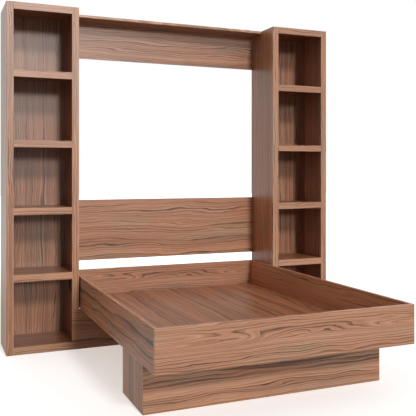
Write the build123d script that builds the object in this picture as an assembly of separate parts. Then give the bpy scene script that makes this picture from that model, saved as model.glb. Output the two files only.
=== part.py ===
from build123d import *
import os

os.makedirs("parts", exist_ok=True)

# Wall bed between two bookcase towers. Millimetres, Z up, X to the right and Y towards the wall,
# with the origin on the floor under the middle of the opened bed.

# Overall sizes.
HEIGHT = 2235
TOWER_WIDTH = 456
TOWER_DEPTH = 368
CAVITY_WIDTH = 1430
REACH = 1970

# Board stock.
BOARD = 18
BACK = 6
ARRIS = 1.0
HOUSING = 5

# Front frame of a tower: widths of its uprights and rails, and the top of each rail.
STILE = 45
RAIL = 46
PLINTH_RAIL = 48
SHELF_TOPS = (506, 930, 1361, 1808)

# Boards that join the towers.
CANOPY_DEPTH = 173
PELMET_DROP = 273
HEADBOARD_BOTTOM = 533
HEADBOARD_TOP = 962
KICKBOARD_TOP = 261
BASE_RAIL_HEIGHT = 140

# Bed box, for a mattress of 1372 by 1905.
BED_WIDTH = 1414
BED_BOTTOM = 262
BED_TOP = 470
BED_BACK = 18
DECK = 12
LEDGER_WIDTH = 40
BATTEN_WIDTH = 90
BATTENS_OUT = (420, 760, 1060, 1356, 1687)

# Box leg under the foot of the bed.
LEG_WIDTH = 1362
LEG_FRONT = 1705
LEG_LENGTH = 367
BLOCK = 30
BLOCK_HEIGHT = 180

# Pivot of the bed: an arm on each side rail, whose shaft turns in a can let into the tower.
PIVOT_OUT = 175
PIVOT_Z = 405
ARM_PLATE = 3
ARM_LENGTH = 150
ARM_HEIGHT = 90
ARM_CORNER = 14
SHAFT_R = 12.5
SHAFT_LET_IN = 10
SHAFT_END = 9.5
JOURNAL_R = 8
JOURNAL_SHORT = 0.5
RUNNING = 0.05
FLANGE = 3
FLANGE_SIZE = 120
FLANGE_CORNER = 12
CAN_R = 54
CAN_WALL = 2
CAN_ROOM = 0.2
BUSH_R = 15
BUSH_COLLAR_R = 28
BUSH_COLLAR = 1.8
BUSH_LENGTH = 4
COVER_R = 60
COVER = 2.5

# Spiral strip of the counterbalance spring, measured outwards from the cavity's side.
SPRING_R = 14
SPRING_STRIP = 1.4
SPRING_STEP = 5.6
SPRING_HALF_TURNS = 6
SPRING_FROM = 1.5
SPRING_TO = 14.5
TONGUE_SHORT = 0.5
TONGUE_ROOM = 0.2
CAN_SLOT = 20

# Screws, drawn with few sides, and how far from the pivot they stand.
SCREW_R = 2.5
SCREW_HEAD_R = 4.8
SCREW_HEAD = 2.3
SCREW_LENGTH = 14
SCREW_SIDES = 8
SCREW_ROOM = 0.05
FLANGE_SCREW = 50
ARM_SCREW_ALONG = 60
ARM_SCREW_UP = 32

# Angle brackets that hold the towers to the wall.
BRACKET_LEAF = 40
BRACKET_WIDTH = 60
BRACKET_STEEL = 3
BRACKET_SPREAD = 256
WALL_HOLE_R = 3.5
WALL_HOLE_UP = 24

WALL = REACH / 2
CAVITY = CAVITY_WIDTH / 2
BED_SIDE = BED_WIDTH / 2
FRAME_BACK = TOWER_DEPTH - BOARD
nodes = {}


def from_wall(out):
    """Y of a plane that stands this far out from the wall."""
    return WALL - out


def board(x, out, z, arris=ARRIS):
    """A board between two X values, two distances from the wall and two heights."""
    size = (x[1] - x[0], out[1] - out[0], z[1] - z[0])
    middle = ((x[0] + x[1]) / 2, from_wall((out[0] + out[1]) / 2), (z[0] + z[1]) / 2)
    piece = Box(*size)
    if arris:
        piece = chamfer(piece.edges(), arris)
    return Pos(*middle) * piece


def drum(x, radius, out=PIVOT_OUT, z=PIVOT_Z):
    """A round bar along X between two X values."""
    turned = Pos((x[0] + x[1]) / 2, from_wall(out), z) * Rot(0, 90, 0)
    return turned * Cylinder(radius, x[1] - x[0])


def plate(x, length, height, corner):
    """A plate round the pivot, square to X, with its corners clipped."""
    outline = Rectangle(length, height)
    outline = chamfer(outline.vertices(), corner)
    placed = Plane.YZ.offset(x[0]) * Pos(from_wall(PIVOT_OUT), PIVOT_Z) * outline
    return extrude(placed, x[1] - x[0], dir=(1, 0, 0))


def mirrored(piece, side):
    """The piece itself on the right, and its mirror image on the left."""
    return piece if side == "right" else mirror(piece, about=Plane.YZ)


def group(pieces):
    """Several separate solids that share one node."""
    return Compound(children=list(pieces))


def wood_screw(x, out, z, room=0.0):
    """A countersunk screw along +X, its head flush at x; with some room, the hole for it."""
    outline = RegularPolygon(SCREW_R + room, SCREW_SIDES)
    head_outline = RegularPolygon(SCREW_HEAD_R + room, SCREW_SIDES)
    shank = extrude(outline, SCREW_LENGTH + room)
    head = loft([head_outline, Pos(0, 0, SCREW_HEAD) * outline], ruled=True)
    return Pos(x, from_wall(out), z) * Rot(0, 90, 0) * (shank + head)


def screw_hole(x, out, z):
    """The countersunk hole that takes such a screw."""
    return wood_screw(x, out, z, SCREW_ROOM)


# Pivot pieces for the right side; the left side has their mirror images.
FLANGE_FACE = CAVITY - FLANGE
ARM_FACE = BED_SIDE + ARM_PLATE
SPRING_WIDTH = SPRING_TO - SPRING_FROM
SPRING_MIDDLE = CAVITY + (SPRING_FROM + SPRING_TO) / 2
SPRING_OUTER = SPRING_R + SPRING_HALF_TURNS * SPRING_STEP


def around_pivot(along, up):
    """Four places round the pivot: how far out from the wall, and how high."""
    return [(PIVOT_OUT + a * along, PIVOT_Z + b * up) for a in (-1, 1) for b in (-1, 1)]


FLANGE_SCREWS = around_pivot(FLANGE_SCREW, FLANGE_SCREW)
ARM_SCREWS = around_pivot(ARM_SCREW_ALONG, ARM_SCREW_UP)


def spring_slot(room=0.0):
    """The radial tongue that hooks the strip's inner end into the shaft."""
    reach = SPRING_R + SPRING_STRIP - JOURNAL_R
    width = SHAFT_END - SPRING_FROM - TONGUE_SHORT
    tongue = Box(width + 2 * room, reach + 2 * room, SPRING_STRIP + 2 * room)
    x = CAVITY + SPRING_FROM + width / 2
    y = from_wall(PIVOT_OUT) - JOURNAL_R - reach / 2
    return Pos(x, y, PIVOT_Z - SPRING_STRIP / 2) * tongue


def pivot_arm():
    """Steel plate on the bed's side rail, with the shaft that the bed turns on."""
    arm = plate((BED_SIDE, ARM_FACE), ARM_LENGTH, ARM_HEIGHT, ARM_CORNER)
    arm += drum((BED_SIDE - SHAFT_LET_IN, CAVITY + SHAFT_END), SHAFT_R)
    arm += drum((CAVITY + SHAFT_END, CAVITY + BOARD - JOURNAL_SHORT), JOURNAL_R)
    for out, z in ARM_SCREWS:
        arm -= mirror(screw_hole(-ARM_FACE, out, z), about=Plane.YZ)
    return arm - spring_slot(TONGUE_ROOM)


def spring_can():
    """Pressed steel can with a square flange, let into the tower's inner side."""
    can = drum((CAVITY, CAVITY + BOARD), CAN_R)
    can -= drum((CAVITY, CAVITY + BOARD - CAN_WALL), CAN_R - CAN_WALL)
    can -= drum((CAVITY, CAVITY + BOARD), JOURNAL_R + RUNNING)
    flange = plate((FLANGE_FACE, CAVITY), FLANGE_SIZE, FLANGE_SIZE, FLANGE_CORNER)
    can += flange - drum((FLANGE_FACE, CAVITY), BUSH_R)
    for out, z in FLANGE_SCREWS:
        can -= screw_hole(FLANGE_FACE, out, z)
    slot = Box(SPRING_WIDTH + 2 * TONGUE_ROOM, CAN_SLOT, SPRING_STRIP + 2 * TONGUE_ROOM)
    y = from_wall(PIVOT_OUT) - SPRING_OUTER - CAN_SLOT / 2
    return can - Pos(SPRING_MIDDLE, y, PIVOT_Z + SPRING_STRIP / 2) * slot


def pivot_bush():
    """Flanged plastic bush between the shaft and the can; its collar is the thrust washer."""
    collar = drum((FLANGE_FACE - BUSH_COLLAR, FLANGE_FACE), BUSH_COLLAR_R)
    barrel = drum((FLANGE_FACE, FLANGE_FACE + BUSH_LENGTH), BUSH_R - RUNNING / 2)
    bore = (FLANGE_FACE - BUSH_COLLAR, FLANGE_FACE + BUSH_LENGTH)
    return collar + barrel - drum(bore, SHAFT_R + RUNNING)


def spiral_edge(radius):
    """Half circles that grow outwards by one step each, on two centres one step apart."""
    arcs = []
    for half in range(SPRING_HALF_TURNS):
        lower = half % 2
        centre = (-SPRING_STEP * lower, 0)
        arcs.append(CenterArc(centre, radius + half * SPRING_STEP, 180 * (1 + lower), -180))
    return arcs


def counterbalance_spring():
    """Flat spiral strip: its inner tongue is in the shaft, its outer tongue in the can."""
    inner = spiral_edge(SPRING_R)
    outer = spiral_edge(SPRING_R + SPRING_STRIP)
    caps = [Line(inner[0] @ 0, outer[0] @ 0), Line(inner[-1] @ 1, outer[-1] @ 1)]
    face = make_face(inner + outer + caps)
    onto_side = Plane(
        origin=(CAVITY + SPRING_FROM, from_wall(PIVOT_OUT), PIVOT_Z), x_dir=(0, 1, 0), z_dir=(1, 0, 0)
    )
    strip = extrude(onto_side * face, SPRING_WIDTH)
    reach = CAN_R - CAN_WALL / 2 - SPRING_OUTER
    tongue = Box(SPRING_WIDTH, reach, SPRING_STRIP)
    y = from_wall(PIVOT_OUT) - SPRING_OUTER - reach / 2
    return strip + spring_slot() + Pos(SPRING_MIDDLE, y, PIVOT_Z + SPRING_STRIP / 2) * tongue


def tower(side):
    """One bookcase tower: sides, boards, back and the glued front frame."""

    def across(a, b):
        if side == "left":
            return (-CAVITY - b, -CAVITY - a)
        return (CAVITY + a, CAVITY + b)

    def add(name, piece):
        nodes[f"{side}_tower_{name}"] = piece

    inside = across(BOARD, TOWER_WIDTH - BOARD)
    housed = across(BOARD - HOUSING, TOWER_WIDTH - BOARD + HOUSING)
    opening = across(STILE, TOWER_WIDTH - STILE)
    behind_frame = (BACK, FRAME_BACK)
    frame = (FRAME_BACK, TOWER_DEPTH)
    floor_board = board(housed, behind_frame, (PLINTH_RAIL - BOARD, PLINTH_RAIL), 0)
    top_board = board(housed, behind_frame, (HEIGHT - BOARD, HEIGHT), 0)
    shelves = [board(housed, behind_frame, (top - BOARD, top), 0) for top in SHELF_TOPS]

    # The shelves and end boards sit in grooves cut across both sides.
    inner = board(across(0, BOARD), (0, FRAME_BACK), (0, HEIGHT))
    outer = board(across(TOWER_WIDTH - BOARD, TOWER_WIDTH), (0, FRAME_BACK), (0, HEIGHT))
    for housed_board in [floor_board, top_board, *shelves]:
        inner -= housed_board
        outer -= housed_board
    inner -= mirrored(drum((CAVITY, CAVITY + BOARD), CAN_R + CAN_ROOM), side)
    for out, z in FLANGE_SCREWS:
        inner -= mirrored(screw_hole(FLANGE_FACE, out, z), side)
    add("inner_side", inner)
    add("outer_side", outer)
    add("top_board", top_board)
    add("floor_board", floor_board)
    for number, shelf in enumerate(shelves, start=1):
        add(f"shelf_{number}", shelf)
    add("back_panel", board(inside, (0, BACK), (0, HEIGHT), 0))

    # Front frame: the inner upright stops on the kickboard, which runs across its foot.
    add("inner_stile", board(across(0, STILE), frame, (KICKBOARD_TOP, HEIGHT)))
    add("outer_stile", board(across(TOWER_WIDTH - STILE, TOWER_WIDTH), frame, (0, HEIGHT)))
    add("top_rail", board(opening, frame, (HEIGHT - RAIL, HEIGHT)))
    add("plinth_rail", board(opening, frame, (0, PLINTH_RAIL)))
    add("shelf_fronts", group(board(opening, frame, (top - RAIL, top)) for top in SHELF_TOPS))


def cabinet_boards():
    """Boards that join the two towers and leave the middle of the back open."""
    span = (-CAVITY, CAVITY)
    pelmet = (HEIGHT - PELMET_DROP, HEIGHT - BOARD)
    nodes["canopy_board"] = board(span, (0, CANOPY_DEPTH), (HEIGHT - BOARD, HEIGHT))
    nodes["canopy_back_rail"] = board(span, (0, BOARD), pelmet)
    nodes["headboard_panel"] = board(span, (0, BOARD), (HEADBOARD_BOTTOM, HEADBOARD_TOP))
    nodes["base_back_rail"] = board(span, (0, BOARD), (0, BASE_RAIL_HEIGHT))
    kick_span = (-CAVITY - STILE, CAVITY + STILE)
    nodes["kickboard"] = board(kick_span, (FRAME_BACK, TOWER_DEPTH), (0, KICKBOARD_TOP))


def bed_box():
    """Shallow box that holds the mattress: four rails, a deck and the battens under it."""
    inner_side = BED_SIDE - BOARD
    height = (BED_BOTTOM, BED_TOP)
    length = (BED_BACK + BOARD, REACH - BOARD)
    ledge = (BED_BOTTOM, BED_BOTTOM + BOARD)
    whole = (-BED_SIDE, BED_SIDE)
    nodes["head_rail"] = board(whole, (BED_BACK, BED_BACK + BOARD), height)
    nodes["foot_board"] = board(whole, (REACH - BOARD, REACH), height)
    rail = board((inner_side, BED_SIDE), length, height)
    rail -= drum((BED_SIDE - SHAFT_LET_IN, BED_SIDE), SHAFT_R + RUNNING)
    for out, z in ARM_SCREWS:
        rail -= mirror(screw_hole(-ARM_FACE, out, z), about=Plane.YZ)
    deck_top = BED_BOTTOM + BOARD + DECK
    deck = board((-inner_side, inner_side), length, (BED_BOTTOM + BOARD, deck_top), 0)
    nodes["deck_panel"] = deck
    ledger = board((inner_side - LEDGER_WIDTH, inner_side), length, ledge, 0)
    for side in ("left", "right"):
        nodes[f"bed_{side}_rail"] = mirrored(rail, side)
        nodes[f"{side}_deck_ledger"] = mirrored(ledger, side)
    between = (LEDGER_WIDTH - inner_side, inner_side - LEDGER_WIDTH)
    ends = [
        (length[0], length[0] + LEDGER_WIDTH),
        (length[1] - LEDGER_WIDTH, length[1]),
    ]
    nodes["end_deck_ledgers"] = group(board(between, out, ledge, 0) for out in ends)
    half = BATTEN_WIDTH / 2
    nodes["deck_battens"] = group(
        board(between, (out - half, out + half), ledge, 0) for out in BATTENS_OUT
    )


def leg_box():
    """Four mitred boards that carry the foot of the bed, with blocks and cleats inside."""
    x = LEG_WIDTH / 2
    back = LEG_FRONT - LEG_LENGTH
    y_front, y_back = from_wall(LEG_FRONT), from_wall(back)

    def mitred(points):
        return chamfer_long(extrude(make_face(Polyline(*points, close=True)), BED_BOTTOM))

    def chamfer_long(piece):
        outer = piece.faces().sort_by(SortBy.AREA)[-1]
        return chamfer(outer.edges().filter_by(Axis.Z), ARRIS)

    front = [(-x, y_front), (x, y_front), (x - BOARD, y_front + BOARD), (BOARD - x, y_front + BOARD)]
    rear = [(-x, y_back), (x, y_back), (x - BOARD, y_back - BOARD), (BOARD - x, y_back - BOARD)]
    end = [(x, y_front), (x, y_back), (x - BOARD, y_back - BOARD), (x - BOARD, y_front + BOARD)]
    nodes["leg_front_board"] = mitred(front)
    nodes["leg_back_board"] = mitred(rear)
    nodes["leg_right_end"] = mitred(end)
    nodes["leg_left_end"] = mirror(nodes["leg_right_end"], about=Plane.YZ)
    inside_x = x - BOARD
    inside_out = (back + BOARD, LEG_FRONT - BOARD)
    under_deck = (BED_BOTTOM - BLOCK, BED_BOTTOM)
    standing = (under_deck[0] - BLOCK_HEIGHT, under_deck[0])
    corners_out = [
        (inside_out[0], inside_out[0] + BLOCK),
        (inside_out[1] - BLOCK, inside_out[1]),
    ]
    corners_x = [(-inside_x, BLOCK - inside_x), (inside_x - BLOCK, inside_x)]
    nodes["leg_cleats"] = group(
        board((-inside_x, inside_x), out, under_deck, 0) for out in corners_out
    )
    nodes["leg_corner_blocks"] = group(
        board(cx, out, standing, 0) for cx in corners_x for out in corners_out
    )


def wall_brackets():
    """Steel angles on top of the towers, each with one hole for a wall screw."""
    leaf = BRACKET_LEAF
    profile = Polyline(
        (0, 0),
        (leaf, 0),
        (leaf, BRACKET_STEEL),
        (BRACKET_STEEL, BRACKET_STEEL),
        (BRACKET_STEEL, leaf),
        (0, leaf),
        close=True,
    )
    face = Plane(origin=(0, WALL, HEIGHT), x_dir=(0, -1, 0), z_dir=(-1, 0, 0)) * make_face(profile)
    angle = extrude(face, BRACKET_WIDTH / 2, both=True)
    hole = Pos(0, WALL - BRACKET_STEEL / 2, HEIGHT + WALL_HOLE_UP) * Rot(90, 0, 0)
    angle -= hole * Cylinder(WALL_HOLE_R, 2 * BRACKET_STEEL)
    middle = CAVITY + TOWER_WIDTH / 2
    places = [s * middle + d * BRACKET_SPREAD / 2 for s in (-1, 1) for d in (-1, 1)]
    nodes["wall_brackets"] = group(Pos(x, 0, 0) * angle for x in places)


for name in ("left", "right"):
    tower(name)
    nodes[f"{name}_spring_can"] = mirrored(spring_can(), name)
    nodes[f"{name}_pivot_arm"] = mirrored(pivot_arm(), name)
cabinet_boards()
bed_box()
leg_box()
wall_brackets()

cover = drum((CAVITY + BOARD, CAVITY + BOARD + COVER), COVER_R)
cover = chamfer(cover.edges().sort_by(Axis.X)[-1], ARRIS)
spring = counterbalance_spring()
bush = pivot_bush()
flange_screws = [wood_screw(FLANGE_FACE, out, z) for out, z in FLANGE_SCREWS]
arm_screws = [mirror(wood_screw(-ARM_FACE, out, z), about=Plane.YZ) for out, z in ARM_SCREWS]
pairs = {
    "spring_covers": [cover],
    "counterbalance_springs": [spring],
    "pivot_bushes": [bush],
    "spring_can_screws": flange_screws,
    "pivot_arm_screws": arm_screws,
}
for name, pieces in pairs.items():
    nodes[name] = group([*pieces, *(mirror(piece, about=Plane.YZ) for piece in pieces)])

for name, piece in nodes.items():
    export_step(piece, f"parts/{name}.step")
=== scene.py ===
import math

import bmesh
import bpy
from mathutils import Euler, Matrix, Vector


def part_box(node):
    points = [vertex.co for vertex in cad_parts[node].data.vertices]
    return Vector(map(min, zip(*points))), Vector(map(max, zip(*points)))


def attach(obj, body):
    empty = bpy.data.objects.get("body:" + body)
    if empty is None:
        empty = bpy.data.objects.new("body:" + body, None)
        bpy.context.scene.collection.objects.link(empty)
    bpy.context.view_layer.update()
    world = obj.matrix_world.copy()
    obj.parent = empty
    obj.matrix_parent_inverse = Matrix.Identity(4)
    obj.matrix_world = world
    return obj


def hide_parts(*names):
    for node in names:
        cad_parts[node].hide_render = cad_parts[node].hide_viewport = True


# Wall bed between two bookcase towers, in metres, with Z up and Y towards the wall.

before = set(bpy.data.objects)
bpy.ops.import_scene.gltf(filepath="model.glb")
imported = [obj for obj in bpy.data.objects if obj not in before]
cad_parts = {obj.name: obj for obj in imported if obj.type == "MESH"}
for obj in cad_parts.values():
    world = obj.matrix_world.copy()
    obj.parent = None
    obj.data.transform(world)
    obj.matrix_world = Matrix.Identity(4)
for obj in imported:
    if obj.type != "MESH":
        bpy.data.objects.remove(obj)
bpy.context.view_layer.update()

# Tower sides: 18 mm boards faced with walnut veneer under satin lacquer, grain up. They are
# grooved inside for the shelves, the inner ones are bored for the spring cans, and the front
# frame is glued over their front edges.

# Colours from the darkest line to the palest wood, and the olive cast that some stretches have.
WALNUT_SHADES = [
    (0.00, (0.060, 0.029, 0.022)),
    (0.25, (0.150, 0.065, 0.038)),
    (0.50, (0.290, 0.127, 0.067)),
    (0.75, (0.450, 0.211, 0.115)),
    (1.00, (0.600, 0.318, 0.194)),
]
OLIVE_CAST = [
    (0.34, (0.91, 1.06, 1.12)),
    (0.52, (1.0, 1.0, 1.0)),
]

# Cells of noise per metre: along the grain, across it and through the board.
BENDS = (1.2, 5.0, 5.0)
WAVES = (3.5, 17.0, 17.0)
RIPPLES = (10.0, 60.0, 60.0)
FADES = (1.6, 40.0, 40.0)
PATCHES = (1.4, 11.0, 11.0)
FLECKS = (9.0, 210.0, 210.0)
CASTS = (1.3, 8.0, 8.0)
PORES = (50.0, 1500.0, 1500.0)

# How far the rings wave and ripple across the grain, and how far apart two seeds are in the
# noise and in the depth of the log, in metres.
WAVE = 0.045
RIPPLE = 0.007
SEED_APART = 5.3
SEED_DEEPER = 3.1

# Rings: how uneven they are, in rings, and the depth of wood in metres over which that changes.
UNEVEN = 2.5
UNEVEN_OVER = 0.045

# Dark edge of a ring: how strong it is from ring to ring, the power that makes strong ones rare,
# how much is left where it fades, and how steeply it rises, plain and for each metre of lift.
WEAKEST = 0.2
STRONGEST = 1.05
RARE = 1.5
FADED = 0.3
FADED_BELOW = 0.3
WHOLE_ABOVE = 0.6
STEEP = 2.6
STEEPER = 140.0

# Tone from 0, dark, to 1, pale: the wood's own, what a ring's edge and a streak take from it,
# and how far fine lines, broad bands, patches and flecks swing it. Widths are in metres.
PALE = 0.84
EDGE_DARK = 1.25
STREAK_DARK = 0.50
LINE_WIDTH = 0.0055
LINE_SWING = 0.60
BAND_WIDTH = 0.07
BAND_SWING = 0.32
PATCH_SWING = 0.28
FLECK_SWING = 0.30

# Lacquer: its roughness, what the pores add to it, how deep they are beside the figure, and the
# depth of both in metres.
LACQUER_ROUGH = 0.36
PORE_ROUGH = 0.12
PORE_HEIGHT = 0.5
VENEER_RELIEF = 0.0002

# How much of its relief any finish shows.
BUMP_STRENGTH = 0.4

# Tints of single boards: none, and a painted shade: the deeper red that wood standing in shade shows,
# from light bounced between the boards.
PLAIN = (1, 1, 1)
PAINTED_SHADE_RED = (1.03, 0.86, 0.72)

# Swing of noise that goes from -1 to 1, and what the effect of a whole surface gives.
FULL_SWING = 2.0
SURFACE = {"Color": "Color", "Roughness": "Float", "Height": "Float"}


def put(tree, kind, inputs=None, **settings):
    """Adds a shader node, then links or sets its sockets by name or number."""
    node = tree.nodes.new("ShaderNode" + kind)
    for key, value in settings.items():
        setattr(node, key, value)
    for socket, value in (inputs or {}).items():
        if isinstance(value, bpy.types.NodeSocket):
            tree.links.new(value, node.inputs[socket])
        else:
            node.inputs[socket].default_value = value
    return node


def calc(tree, operation, *values):
    """One Math node; returns its output."""
    return put(tree, "Math", dict(enumerate(values)), operation=operation).outputs[0]


def combine(tree, operation, *values):
    """One Vector Math node; returns its output."""
    return put(tree, "VectorMath", dict(enumerate(values)), operation=operation).outputs[0]


def cloud(tree, position, cells, detail=1.0):
    """Noise from 0 to 1 round 0.5, with this many cells per metre along each axis."""
    inputs = {"Vector": combine(tree, "MULTIPLY", position, cells), "Scale": 1.0, "Detail": detail}
    return put(tree, "TexNoise", inputs).outputs["Fac"]


def swing(tree, noise, size):
    """Moves noise from round 0.5 to round 0, and makes it this much larger."""
    return calc(tree, "MULTIPLY", calc(tree, "SUBTRACT", noise, 0.5), size)


def vary(tree, value, noise, size):
    """A value that noise moves up and down by half this size."""
    return calc(tree, "ADD", value, swing(tree, noise, size))


def between(tree, value, low, high):
    """0 up to the low value, 1 from the high one, and evenly from 0 to 1 between them."""
    return put(tree, "MapRange", {"Value": value, "From Min": low, "From Max": high}).outputs[0]


def shades(tree, value, stops):
    """A colour ramp through these stops; returns its colour output."""
    ramp = put(tree, "ValToRGB", {0: value})
    elements = ramp.color_ramp.elements
    while len(elements) < len(stops):
        elements.new(0.5)
    for element, (place, colour) in zip(elements, stops):
        element.position = place
        element.color = (*colour, 1)
    return ramp.outputs["Color"]


def effect(name, takes, gives):
    """A new shader node group with these sockets: the group, what it is given, its results."""
    group = bpy.data.node_groups.new(name, "ShaderNodeTree")
    for label, kind in takes.items():
        group.interface.new_socket(label, in_out="INPUT", socket_type="NodeSocket" + kind)
    for label, kind in gives.items():
        group.interface.new_socket(label, in_out="OUTPUT", socket_type="NodeSocket" + kind)
    given = group.nodes.new("NodeGroupInput").outputs
    return group, given, group.nodes.new("NodeGroupOutput").inputs


def walnut_figure():
    """Walnut cut flat: dark ring edges that wander along the grain, over paler wood with pores."""
    tree, given, result = effect(
        "walnut figure",
        {
            "Position": "Vector",
            "Wander": "Float",
            "Ring": "Float",
            "Tone": "Float",
            "Tint": "Vector",
            "Lift": "Float",
            "Streak": "Float",
            "Seed": "Float",
        },
        SURFACE,
    )
    seed = given["Seed"]
    apart = calc(tree, "MULTIPLY", seed, SEED_APART)
    shift = put(tree, "CombineXYZ", {"X": apart, "Y": seed}).outputs[0]
    place = combine(tree, "ADD", given["Position"], shift)

    # How deep in the log a point lies, in metres.
    across = put(tree, "SeparateXYZ", {0: given["Position"]}).outputs["Y"]
    bend = swing(tree, cloud(tree, place, BENDS), FULL_SWING)
    depth = calc(tree, "ADD", across, calc(tree, "MULTIPLY", bend, given["Wander"]))
    depth = vary(tree, depth, cloud(tree, place, WAVES), WAVE)
    depth = vary(tree, depth, cloud(tree, place, RIPPLES), RIPPLE)
    depth = calc(tree, "ADD", depth, given["Lift"])
    depth = calc(tree, "ADD", depth, calc(tree, "MULTIPLY", seed, SEED_DEEPER))

    def bands(width):
        """Noise that follows the rings, in bands about this wide."""
        inputs = {"W": calc(tree, "DIVIDE", depth, width), "Scale": 1.0, "Detail": 1.0}
        return put(tree, "TexNoise", inputs, noise_dimensions="1D").outputs["Fac"]

    # Each ring darkens to an edge that is sharp on one side, and thinner where the rings swell.
    # No two are equally dark, and each fades here and there along its length.
    turn = calc(tree, "DIVIDE", depth, given["Ring"])
    turn = vary(tree, turn, bands(UNEVEN_OVER), UNEVEN)
    draw = put(tree, "TexWhiteNoise", {"W": calc(tree, "FLOOR", turn)}, noise_dimensions="1D")
    strength = calc(tree, "POWER", draw.outputs["Value"], RARE)
    strength = calc(tree, "MULTIPLY_ADD", strength, STRONGEST - WEAKEST, WEAKEST)
    whole = between(tree, cloud(tree, place, FADES), FADED_BELOW, WHOLE_ABOVE)
    left = calc(tree, "MULTIPLY_ADD", whole, 1 - FADED, FADED)
    strength = calc(tree, "MULTIPLY", strength, left)
    power = calc(tree, "MULTIPLY_ADD", given["Lift"], STEEPER, STEEP)
    rise = calc(tree, "POWER", calc(tree, "FRACT", turn), power)
    edge = calc(tree, "MULTIPLY", rise, strength)

    tone = calc(tree, "SUBTRACT", PALE, calc(tree, "MULTIPLY", edge, EDGE_DARK))
    tone = vary(tree, tone, bands(LINE_WIDTH), LINE_SWING)
    tone = vary(tree, tone, bands(BAND_WIDTH), BAND_SWING)
    tone = vary(tree, tone, cloud(tree, place, PATCHES, detail=2.0), PATCH_SWING)
    tone = vary(tree, tone, cloud(tree, place, FLECKS, detail=2.0), FLECK_SWING)
    tone = calc(tree, "ADD", tone, given["Tone"])
    tone = calc(tree, "SUBTRACT", tone, calc(tree, "MULTIPLY", given["Streak"], STREAK_DARK))

    cast = shades(tree, cloud(tree, place, CASTS), OLIVE_CAST)
    colour = combine(tree, "MULTIPLY", shades(tree, tone, WALNUT_SHADES), cast)
    colour = combine(tree, "MULTIPLY", colour, given["Tint"])
    pores = cloud(tree, place, PORES)
    tree.links.new(colour, result["Color"])
    tree.links.new(vary(tree, LACQUER_ROUGH, pores, PORE_ROUGH), result["Roughness"])
    tree.links.new(vary(tree, tone, pores, PORE_HEIGHT), result["Height"])
    return tree


WALNUT = walnut_figure()


def finish(name, make, relief):
    """A material whose colour, roughness and relief come from the effect that make(tree) puts in."""
    material = bpy.data.materials.new(name)
    material.use_nodes = True
    tree = material.node_tree
    shader = tree.nodes["Principled BSDF"].inputs
    surface = make(tree).outputs
    tree.links.new(surface["Color"], shader["Base Color"])
    tree.links.new(surface["Roughness"], shader["Roughness"])
    if relief:
        inputs = {"Height": surface["Height"], "Distance": relief, "Strength": BUMP_STRENGTH}
        tree.links.new(put(tree, "Bump", inputs).outputs[0], shader["Normal"])
    return material


def dress(nodes, material):
    """Gives a material to some CAD nodes."""
    for node in nodes:
        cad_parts[node].material_slots[0].material = material


def here(tree):
    """Where a point is at rest."""
    return put(tree, "TexCoord").outputs["Object"]


def along_grain(tree, along, across, middle=(0, 0, 0)):
    """Where a point is, measured from this middle: X with the grain, Y across it, Z through."""
    through = next(axis for axis in "XYZ" if axis not in along + across)
    split = put(tree, "SeparateXYZ", {0: combine(tree, "SUBTRACT", here(tree), middle)}).outputs
    order = {"X": split[along], "Y": split[across], "Z": split[through]}
    return put(tree, "CombineXYZ", order).outputs[0]


def veneer(
    node, along, across, seed, wander=0.03, ring=0.014, tone=0.0, tint=PLAIN, lift=None, streak=None
):
    """Walnut veneer for one CAD node, its grain along one axis. The rings wander this far, and are
    this far apart, in metres;
    tone and tint shift the board's colour, and on boards in shade they paint that shade darker and
    redder; lift(tree, grain) and streak(tree, grain) add swellings or a streak."""
    low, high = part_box(node)
    middle = [(a + b) / 2 for a, b in zip(low, high)]

    def make(tree):
        grain = along_grain(tree, along, across, middle)
        inputs = {"Position": grain, "Wander": wander, "Ring": ring, "Tone": tone}
        inputs |= {"Tint": tint, "Seed": float(seed)}
        if lift:
            inputs["Lift"] = lift(tree, grain)
        if streak:
            inputs["Streak"] = streak(tree, grain)
        return put(tree, "Group", inputs, node_tree=WALNUT)

    dress([node], finish("walnut_" + node, make, VENEER_RELIEF))


# Painted shade: the sides are darker, and the inner ones redder too, for the shade inside the
# cubbies.
for seed, side in enumerate(("left", "right"), start=1):
    veneer(f"{side}_tower_outer_side", "Z", "Y", seed, wander=0.02, tone=-0.10)
    veneer(f"{side}_tower_inner_side", "Z", "Y", seed + 2, wander=0.02, tone=-0.08, tint=PAINTED_SHADE_RED)

# Shelves, top boards and floor boards: 18 mm veneered boards let 5 mm into the grooves of the
# sides, with their grain across the tower.

# Painted shade: all these boards are darker and redder for the shade inside the cubbies.
for first, side in ((5, "left"), (11, "right")):
    names = ("top_board", "floor_board", "shelf_1", "shelf_2", "shelf_3", "shelf_4")
    for seed, name in enumerate(names, start=first):
        veneer(f"{side}_tower_{name}", "X", "Y", seed, wander=0.02, tone=-0.22, tint=PAINTED_SHADE_RED)

# Back panels: 6 mm veneered sheets with their grain up. They stand between the sides, flush with
# their back edges, and close the cubbies at the wall.

# Painted shade: the panels are darker for the shade at the back of the cubbies.
for seed, side in enumerate(("left", "right"), start=17):
    veneer(f"{side}_tower_back_panel", "Z", "X", seed, tone=-0.20)

# Front frames: walnut uprights, rails between them at the top and the bottom, and a deep front
# glued along the edge of each shelf, all flush. These narrow pieces have straight, close rings.

NARROW = {"wander": 0.012, "ring": 0.009}

for first, side in ((19, "left"), (24, "right")):
    veneer(f"{side}_tower_inner_stile", "Z", "X", first, **NARROW)
    veneer(f"{side}_tower_outer_stile", "Z", "X", first + 1, **NARROW)
    for seed, name in enumerate(("top_rail", "plinth_rail", "shelf_fronts"), start=first + 2):
        veneer(f"{side}_tower_{name}", "X", "Z", seed, **NARROW)

# Boards that join the towers: the canopy with its back rail, the headboard and the base rail at
# the wall, and the kickboard flush with the tower fronts. All are veneered boards with their
# grain from tower to tower.

veneer("canopy_board", "X", "Y", seed=42, wander=0.02)
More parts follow.
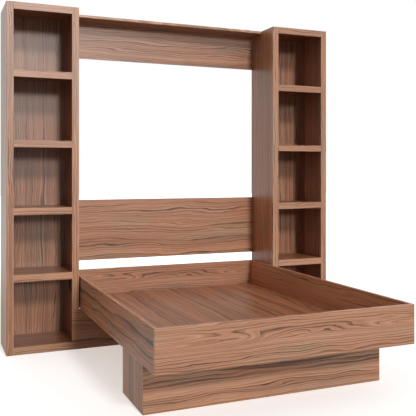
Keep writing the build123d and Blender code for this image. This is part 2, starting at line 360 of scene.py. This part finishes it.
# Painted shade: the back rail is darker for the shade under the canopy.
veneer("canopy_back_rail", "X", "Z", seed=30, tone=-0.14)
veneer("headboard_panel", "X", "Z", seed=31, wander=0.045, ring=0.015, tone=-0.10)
# Painted shade: the base rail and the kickboard are redder for the shade under the bed.
veneer("base_back_rail", "X", "Z", seed=32, wander=0.02, tint=PAINTED_SHADE_RED)
veneer("kickboard", "X", "Z", seed=33, tint=PAINTED_SHADE_RED)

# Bed rails, head rail and foot board: a box of veneered boards round the mattress. The foot
# board covers the ends of the rails. It and the head rail are cut from one flitch, so both show
# two long eyes with a knot between them.

# Each swelling of the rings: its middle, how far it runs to the left and to the right, half its
# width, and how far it pushes the rings, in metres. The eyes run past the ends of the board.
BEYOND = 9.0
EYE = {"Width": 0.031, "Size": 0.070}
LEFT_EYE = {"Place X": -0.45, "Place Y": 0.010, "Left Run": BEYOND, "Right Run": 0.36, **EYE}
RIGHT_EYE = {"Place X": 0.65, "Place Y": 0.012, "Left Run": 0.34, "Right Run": BEYOND, **EYE}
KNOT = {"Place X": 0.103, "Place Y": 0.014, "Left Run": 0.030, "Right Run": 0.040}
KNOT |= {"Width": 0.014, "Size": 0.014}


def swelling():
    """How far the rings are pushed across the grain over a knot, or under a long eye."""
    tree, given, result = effect(
        "swelling", {"Position": "Vector", **dict.fromkeys(KNOT, "Float")}, {"Lift": "Float"}
    )
    split = put(tree, "SeparateXYZ", {0: given["Position"]}).outputs
    along = calc(tree, "SUBTRACT", split["X"], given["Place X"])
    left = calc(tree, "DIVIDE", calc(tree, "MINIMUM", along, 0.0), given["Left Run"])
    right = calc(tree, "DIVIDE", calc(tree, "MAXIMUM", along, 0.0), given["Right Run"])
    beside = calc(tree, "SUBTRACT", split["Y"], given["Place Y"])
    beside = calc(tree, "DIVIDE", beside, given["Width"])
    square = calc(tree, "MULTIPLY", beside, beside)
    for part in (left, right):
        square = calc(tree, "MULTIPLY_ADD", part, part, square)
    fall = calc(tree, "EXPONENT", calc(tree, "MULTIPLY", square, -1.0))
    tree.links.new(calc(tree, "MULTIPLY", fall, given["Size"]), result["Lift"])
    return tree


SWELLING = swelling()


def eyes_and_knot(tree, grain):
    """The lift of the rings by the left eye, the right eye and the knot between them."""
    total = 0.0
    for sizes in (LEFT_EYE, RIGHT_EYE, KNOT):
        one = put(tree, "Group", {"Position": grain, **sizes}, node_tree=SWELLING).outputs[0]
        total = calc(tree, "ADD", one, total)
    return total


# Painted shade: the head rail is darker than the foot board for the shade inside the bed's box.
for node, tone in (("foot_board", 0.05), ("head_rail", -0.11)):
    veneer(node, "X", "Z", seed=34, wander=0.01, ring=0.012, tone=tone, lift=eyes_and_knot)
# Painted shade: the rails are darker and redder for the shade they stand in along the bed.
for seed, side in enumerate(("left", "right"), start=35):
    veneer(f"bed_{side}_rail", "Y", "Z", seed, ring=0.018, tone=-0.08, tint=PAINTED_SHADE_RED)

# Deck: one 12 mm veneered board that the mattress lies on, with its grain along the bed. It lies
# between the rails, on the ledgers and battens.

# Painted shade: the deck is darker and redder for the shade between the rails.
veneer("deck_panel", "Y", "X", seed=37, wander=0.04, ring=0.026, tone=-0.15, tint=PAINTED_SHADE_RED)

# Ledgers and battens: planed softwood strips under the deck. The ledgers are glued and screwed
# along the rails and across both ends, and the battens lie across between them.

SOFTWOOD_SHADES = [
    (0.35, (0.42, 0.24, 0.11)),
    (0.50, (0.62, 0.43, 0.24)),
    (0.65, (0.74, 0.56, 0.35)),
]
SOFTWOOD_RINGS = (1.5, 130.0, 130.0)
SOFTWOOD_FIBRE = (20.0, 900.0, 900.0)
FIBRE_SHARE = 0.2
PLANED_ROUGH = 0.60
FIBRE_ROUGH = 0.3
PLANED_RELIEF = 0.0003


def softwood_figure():
    """Pale softwood: straight yellow and tan rings under a fine fibre."""
    tree, given, result = effect("softwood figure", {"Position": "Vector"}, SURFACE)
    rings = cloud(tree, given["Position"], SOFTWOOD_RINGS)
    fibre = cloud(tree, given["Position"], SOFTWOOD_FIBRE, detail=3.0)
    rings = calc(tree, "MULTIPLY", rings, 1 - FIBRE_SHARE)
    tone = calc(tree, "ADD", rings, calc(tree, "MULTIPLY", fibre, FIBRE_SHARE))
    tree.links.new(shades(tree, tone, SOFTWOOD_SHADES), result["Color"])
    tree.links.new(vary(tree, PLANED_ROUGH, fibre, FIBRE_ROUGH), result["Roughness"])
    tree.links.new(tone, result["Height"])
    return tree


SOFTWOOD = softwood_figure()


def softwood(nodes, along, across):
    """Planed softwood for some CAD nodes, its grain along one axis."""

    def make(tree):
        return put(tree, "Group", {"Position": along_grain(tree, along, across)}, node_tree=SOFTWOOD)

    dress(nodes, finish("softwood_along_" + along, make, PLANED_RELIEF))


softwood(["left_deck_ledger", "right_deck_ledger"], "Y", "X")
softwood(["end_deck_ledgers", "deck_battens"], "X", "Y")

# Leg: four veneered boards mitred into a box, the grain across on the front and back and up on
# the ends. Softwood cleats hold it under the deck, and glue blocks stiffen its corners. A dark
# streak of heartwood runs near the top of the front board.

# The streak's middle, from the board's own, its half length and half width, and how far it sags
# in the middle, in metres, and then how sharp its rim is.
STREAK = {"Middle X": 0.09, "Middle Y": 0.044, "Half Length": 0.46, "Half Width": 0.012}
STREAK |= {"Sag": 0.014}
STREAK_RIM = 3.0


def heart_streak():
    """A long dark lens of heartwood that sags in the middle: a mask with a soft rim."""
    tree, given, result = effect(
        "heart streak", {"Position": "Vector", **dict.fromkeys(STREAK, "Float")}, {"Mask": "Float"}
    )
    split = put(tree, "SeparateXYZ", {0: given["Position"]}).outputs
    along = calc(tree, "SUBTRACT", split["X"], given["Middle X"])
    along = calc(tree, "DIVIDE", along, given["Half Length"])
    room = calc(tree, "SUBTRACT", 1.0, calc(tree, "MULTIPLY", along, along))
    sag = calc(tree, "MULTIPLY", calc(tree, "MAXIMUM", room, 0.0), given["Sag"])
    beside = calc(tree, "SUBTRACT", split["Y"], given["Middle Y"])
    beside = calc(tree, "ABSOLUTE", calc(tree, "ADD", beside, sag))
    beside = calc(tree, "DIVIDE", beside, given["Half Width"])
    mask = calc(tree, "MULTIPLY", calc(tree, "SUBTRACT", room, beside), STREAK_RIM)
    tree.links.new(put(tree, "Clamp", {0: mask}).outputs[0], result["Mask"])
    return tree


HEART_STREAK = heart_streak()


def leg_streak(tree, grain):
    """The streak near the top of the leg's front board."""
    return put(tree, "Group", {"Position": grain, **STREAK}, node_tree=HEART_STREAK).outputs["Mask"]


veneer("leg_front_board", "X", "Z", seed=38, wander=0.02, ring=0.013, tone=0.06, streak=leg_streak)
veneer("leg_back_board", "X", "Z", seed=39, wander=0.02)
# Painted shade: the ends are darker and redder for the shade on the sides of the leg.
for seed, side in enumerate(("left", "right"), start=40):
    veneer(f"leg_{side}_end", "Z", "Y", seed, wander=0.012, ring=0.018, tone=-0.10, tint=PAINTED_SHADE_RED)
softwood(["leg_cleats"], "X", "Y")
softwood(["leg_corner_blocks"], "Z", "X")

# Pivot ironwork: pressed steel spring cans, steel arms with their shafts, and the angle brackets
# on top of the towers. All are zinc plated, and screwed to the boards.

ZINC_TINT = (0.62, 0.62, 0.64)
SPANGLES = 160.0
SPANGLE_SWING = 0.3
SCRATCHES = 900.0
PLATED_ROUGH = 0.39
SCRATCH_ROUGH = 0.3


def plated_steel():
    """Zinc plating: faint spangle and fine scratches."""
    tree, given, result = effect(
        "plated steel",
        {"Position": "Vector", "Tint": "Color"},
        {"Color": "Color", "Roughness": "Float"},
    )
    place = given["Position"]
    cells = put(tree, "TexVoronoi", {"Vector": place, "Scale": SPANGLES}).outputs["Color"]
    spangle = put(tree, "SeparateColor", {0: cells}).outputs[0]
    shade = vary(tree, 1.0, spangle, SPANGLE_SWING)
    scratch = put(tree, "TexNoise", {"Vector": place, "Scale": SCRATCHES, "Detail": 4.0})
    rough = vary(tree, PLATED_ROUGH, scratch.outputs["Fac"], SCRATCH_ROUGH)
    tree.links.new(combine(tree, "MULTIPLY", given["Tint"], shade), result["Color"])
    tree.links.new(rough, result["Roughness"])
    return tree


PLATED = plated_steel()


def tinted(name, group, tint, relief=None):
    """A material from an effect that takes a position and a tint."""

    def make(tree):
        return put(tree, "Group", {"Position": here(tree), "Tint": (*tint, 1)}, node_tree=group)

    return finish(name, make, relief)


def steel(name, tint, nodes):
    """A steel for some CAD nodes; returns it."""
    material = tinted(name, PLATED, tint)
    material.node_tree.nodes["Principled BSDF"].inputs["Metallic"].default_value = 1.0
    dress(nodes, material)
    return material


PLATED_NODES = ["left_spring_can", "right_spring_can", "left_pivot_arm", "right_pivot_arm"]
PLATED_NODES += ["wall_brackets"]
ZINC = steel("zinc_plated_steel", ZINC_TINT, PLATED_NODES)

# Counterbalance springs: flat strip of tempered spring steel, lightly oiled and wound in a spiral
# inside the cans. The inner end hooks into the shaft and the outer end into the can.

steel("tempered_spring_steel", (0.16, 0.17, 0.21), ["counterbalance_springs"])

# Bushes and covers: moulded plastic, natural white for the flanged bushes that the shafts turn in,
# and dark brown for the round covers that close the bores inside the cubbies.

MOULD_GRAIN = 1400.0
MOTTLES = 60.0
MOTTLE_SWING = 0.2
MOULDED_ROUGH = 0.52
GRAIN_ROUGH = 0.2
MOULDED_RELIEF = 0.0001


def moulded():
    """Moulded plastic: fine spark-eroded texture and slight mottling."""
    tree, given, result = effect("moulded plastic", {"Position": "Vector", "Tint": "Color"}, SURFACE)
    place = given["Position"]
    grain = put(tree, "TexNoise", {"Vector": place, "Scale": MOULD_GRAIN}).outputs["Fac"]
    mottle = put(tree, "TexNoise", {"Vector": place, "Scale": MOTTLES}).outputs["Fac"]
    shade = vary(tree, 1.0, mottle, MOTTLE_SWING)
    tree.links.new(combine(tree, "MULTIPLY", given["Tint"], shade), result["Color"])
    tree.links.new(vary(tree, MOULDED_ROUGH, grain, GRAIN_ROUGH), result["Roughness"])
    tree.links.new(grain, result["Height"])
    return tree


MOULDED = moulded()

for name, tint, node in (
    ("bush_natural_plastic", (0.78, 0.76, 0.70), "pivot_bushes"),
    ("cover_brown_plastic", (0.040, 0.022, 0.014), "spring_covers"),
):
    dress([node], tinted(name, MOULDED, tint, MOULDED_RELIEF))

# Screws of the cans and arms: countersunk steel screws, zinc plated, with a hexagon socket. Four
# hold each can to its tower and four hold each arm to its bed rail, with their heads flush.

HEAD_R = 0.0048
HEAD_DEPTH = 0.0023
SHANK_R = 0.0025
SCREW_LENGTH = 0.014
TIP_LENGTH = SHANK_R
TIP_R = SHANK_R / 10
SOCKET_FLAT = 0.0017
SOCKET_DEPTH = 0.0012
SIXTH = math.pi / 3
AROUND = 24


def screw_mesh(mesh, middle, into):
    """Adds one screw to a bmesh, its head's middle here and its shank going into +X or -X."""

    def socket(angle):
        """The socket's edge, on the flats and further out towards its corners."""
        return SOCKET_FLAT / math.cos((angle + SIXTH / 2) % SIXTH - SIXTH / 2)

    outline = [
        (socket, SOCKET_DEPTH),
        (socket, 0),
        (lambda angle: HEAD_R, 0),
        (lambda angle: SHANK_R, HEAD_DEPTH),
        (lambda angle: SHANK_R, SCREW_LENGTH - TIP_LENGTH),
        (lambda angle: TIP_R, SCREW_LENGTH),
    ]
    rings = []
    for radius, depth in outline:
        ring = []
        for step in range(AROUND):
            angle = 2 * math.pi * step / AROUND
            reach = radius(angle)
            offset = Vector((into * depth, reach * math.cos(angle), reach * math.sin(angle)))
            ring.append(mesh.verts.new(middle + offset))
        rings.append(ring)
    for first, second in zip(rings, rings[1:]):
        for a in range(AROUND):
            b = (a + 1) % AROUND
            mesh.faces.new((first[a], first[b], second[b], second[a]))
    mesh.faces.new(rings[0])
    mesh.faces.new(rings[-1])


def screws(name, node, body, face, outwards):
    """Detailed screws in place of the plain ones of one CAD node, four on each side of the bed.
    Their heads lie this far from the middle. Outwards is 1 if they go in away from it, else -1."""
    mesh = bmesh.new()
    low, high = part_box(node)
    for side in (-1, 1):
        for y in (low[1] + HEAD_R, high[1] - HEAD_R):
            for z in (low[2] + HEAD_R, high[2] - HEAD_R):
                screw_mesh(mesh, Vector((side * face, y, z)), side * outwards)
    bmesh.ops.recalc_face_normals(mesh, faces=mesh.faces)
    data = bpy.data.meshes.new(name)
    mesh.to_mesh(data)
    data.materials.append(ZINC)
    piece = bpy.data.objects.new(name, data)
    bpy.context.scene.collection.objects.link(piece)
    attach(piece, body)
    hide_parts(node)


can_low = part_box("right_spring_can")[0]
arm_screws_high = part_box("pivot_arm_screws")[1]
screws("can_screws_detailed", "spring_can_screws", "cabinet", can_low[0], 1)
screws("arm_screws_detailed", "pivot_arm_screws", "bed", arm_screws_high[0], -1)

# Floor: a plain pale studio floor, half a millimetre under the feet of the bed. Near the bed it glows
# a warm pink, a painted bounce from the wood that shows in its shadows, and it whitens into the
# background far away. It throws back less light than its own shade would.

FLOOR_HALF = 30.0
FLOOR_BELOW = 0.0005
FLOOR_ROUGH = 0.9
WHITE = (1, 1, 1)

# What the camera sees of the floor, cool so that where it is lit it sums with the glow to white, what
# its bounced light has, and the glow near the bed, warm pink: a painted bounce from the wood that
# shows where the floor is in shadow.
FLOOR_SHADE = (0.76, 0.84, 0.89)
FLOOR_BOUNCE = (0.3, 0.3, 0.3)
FLOOR_GLOW_PAINTED_BOUNCE = (0.56, 0.49, 0.45)

# Distances from the middle between which the glow turns white.
FAR_FROM = 2.5
FAR_TO = 6.0


def mix(tree, mask, low, high):
    """The low colour where the mask is 0, the high one where it is 1."""
    more = [b - a for a, b in zip(low, high)]
    return combine(tree, "MULTIPLY_ADD", mask, more, low)


def shown(tree, path):
    """1 for the rays that show the background: from the camera, or by way of gloss or glass."""
    direct = calc(tree, "MAXIMUM", path["Is Camera Ray"], path["Is Glossy Ray"])
    return calc(tree, "MAXIMUM", direct, path["Is Transmission Ray"])


mesh = bmesh.new()
corners = [(-1, -1), (1, -1), (1, 1), (-1, 1)]
mesh.faces.new([mesh.verts.new((x * FLOOR_HALF, y * FLOOR_HALF, -FLOOR_BELOW)) for x, y in corners])
data = bpy.data.meshes.new("studio_floor")
mesh.to_mesh(data)
floor = bpy.data.objects.new("studio_floor", data)
bpy.context.scene.collection.objects.link(floor)

material = bpy.data.materials.new("pale_floor")
material.use_nodes = True
tree = material.node_tree
shader = tree.nodes["Principled BSDF"].inputs
shader["Roughness"].default_value = FLOOR_ROUGH
shader["Specular IOR Level"].default_value = 0.0
path = put(tree, "LightPath").outputs
shade = mix(tree, path["Is Camera Ray"], FLOOR_BOUNCE, FLOOR_SHADE)
away = put(tree, "VectorMath", {0: here(tree)}, operation="LENGTH").outputs["Value"]
glow = mix(tree, between(tree, away, FAR_FROM, FAR_TO), FLOOR_GLOW_PAINTED_BOUNCE, WHITE)
tree.links.new(shade, shader["Base Color"])
tree.links.new(glow, shader["Emission Color"])
tree.links.new(shown(tree, path), shader["Emission Strength"])
data.materials.append(material)

# Light: a white surround that lights from the sides, the back and the top, and two soft lamps
# far in front, a little to the right, one low and one high.

LEAST_GLOW = 0.02
SIDE_GLOW = 0.75
BACK_GLOW = 0.90
TOP_GLOW = 0.35
LAMP_WIDTH = 8

world = bpy.data.worlds.new("white_surround")
bpy.context.scene.world = world
world.use_nodes = True
tree = world.node_tree

# The glow grows with the square of how far a direction points to the side, to the back, or up or
# down, and the front has only the least of it.
towards = put(tree, "TexCoord").outputs["Generated"]
towards = combine(tree, "MAXIMUM", towards, (-1, 0, -1))
squares = combine(tree, "MULTIPLY", towards, towards)
weights = (SIDE_GLOW, BACK_GLOW, TOP_GLOW)
glow = put(tree, "VectorMath", {0: squares, 1: weights}, operation="DOT_PRODUCT").outputs["Value"]
glow = calc(tree, "ADD", glow, LEAST_GLOW)
background = tree.nodes["Background"].inputs
background["Color"].default_value = (*WHITE, 1)
path = put(tree, "LightPath").outputs
tree.links.new(calc(tree, "MAXIMUM", shown(tree, path), glow), background["Strength"])


def soft_lamp(name, azimuth, elevation, power):
    """A distant lamp in front, turned this many degrees to the right and up, of this power."""
    lamp = bpy.data.lights.new(name, "SUN")
    lamp.energy = power
    lamp.angle = math.radians(LAMP_WIDTH)
    lamp_object = bpy.data.objects.new(name, lamp)
    lamp_object.rotation_euler = Euler((math.radians(90 - elevation), 0, math.radians(azimuth)))
    bpy.context.scene.collection.objects.link(lamp_object)


soft_lamp("low_lamp", azimuth=4.5, elevation=12, power=0.80)
soft_lamp("high_lamp", azimuth=6, elevation=30, power=1.35)

# Camera: level, at about chest height, to the left of the bed's foot. The picture is the middle
# of a larger one, cut off centre.

CAMERA_PLACE = (-1.6034, -3.8214, 1.1551)
YAW = 23.5
SENSOR = 36

# In pixels of the picture: its width and height, the focal length and the middle of the view.
PICTURE = 416
FOCAL_PIXELS = 675.9
MIDDLE_U = 225
MIDDLE_V = 172.5

camera = bpy.data.cameras.new("camera")
camera.sensor_width = SENSOR
camera.lens = FOCAL_PIXELS / PICTURE * SENSOR
camera.shift_x = (PICTURE / 2 - MIDDLE_U) / PICTURE
camera.shift_y = (MIDDLE_V - PICTURE / 2) / PICTURE
camera_object = bpy.data.objects.new("camera", camera)
bpy.context.scene.collection.objects.link(camera_object)
camera_object.location = CAMERA_PLACE
camera_object.rotation_euler = (math.radians(90), 0, math.radians(-YAW))
bpy.context.scene.camera = camera_object
bpy.context.scene.view_settings.view_transform = "Standard"
